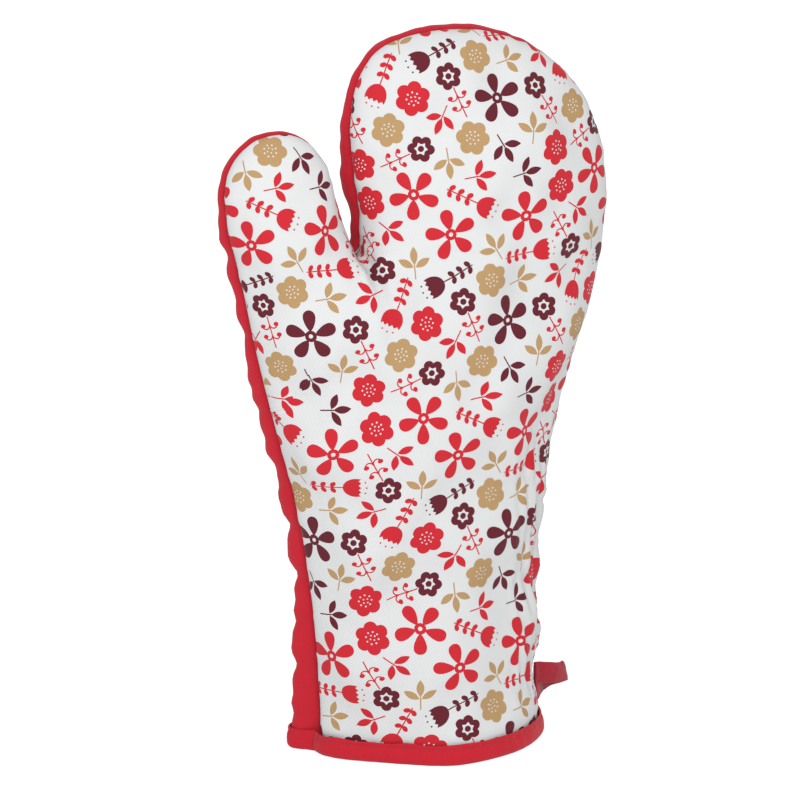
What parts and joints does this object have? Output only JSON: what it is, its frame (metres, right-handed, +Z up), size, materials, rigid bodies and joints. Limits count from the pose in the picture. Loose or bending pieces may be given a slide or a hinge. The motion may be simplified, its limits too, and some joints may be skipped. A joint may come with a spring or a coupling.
{
  "type": "oven mitt",
  "caption": "Padded fabric oven mitt standing on its open cuff, one thumb, printed palm, plain back, bound rim and side hanging loop.",
  "frame": {"origin": "on the floor plane of the cuff rim (Z = 0), under the middle of the mitt's bounding box", "axes": "+Z up along the mitt from the cuff to the fingertips, -Y out of the printed palm side, +Y out of the plain back, -X to the thumb, +X to the hanging loop"},
  "size_m": [0.1792, 0.0776, 0.321],
  "materials": {
    "printed_twill": "matte cotton twill with a small red, maroon and tan floral print",
    "red_cotton": "matte plain-weave cotton",
    "red_binding": "matte bias tape",
    "red_tape": "matte folded cotton tape",
    "red_thread": "polyester thread",
    "wadding": "fluffy polyester wadding",
    "lining": "matte plain-weave cotton"
  },
  "bodies": {
    "mitt": {"front_shell_panel": "printed_twill", "front_wadding": "wadding", "front_lining": "lining", "back_shell_panel": "red_cotton", "back_wadding": "wadding", "back_lining": "lining", "front_cuff_binding": "red_binding", "back_cuff_binding": "red_binding", "front_binding_topstitch": "red_thread", "back_binding_topstitch": "red_thread"},
    "loop": {"hanging_loop": "red_tape"}
  },
  "joints": [
    {"name": "hanging_loop_swing", "type": "hinge", "parent": "mitt", "child": "loop", "pos_m": [0.05594, 0.00435, 0.0185], "axis": [0, 0, 1], "range_deg": [-95, 34]}
  ]
}
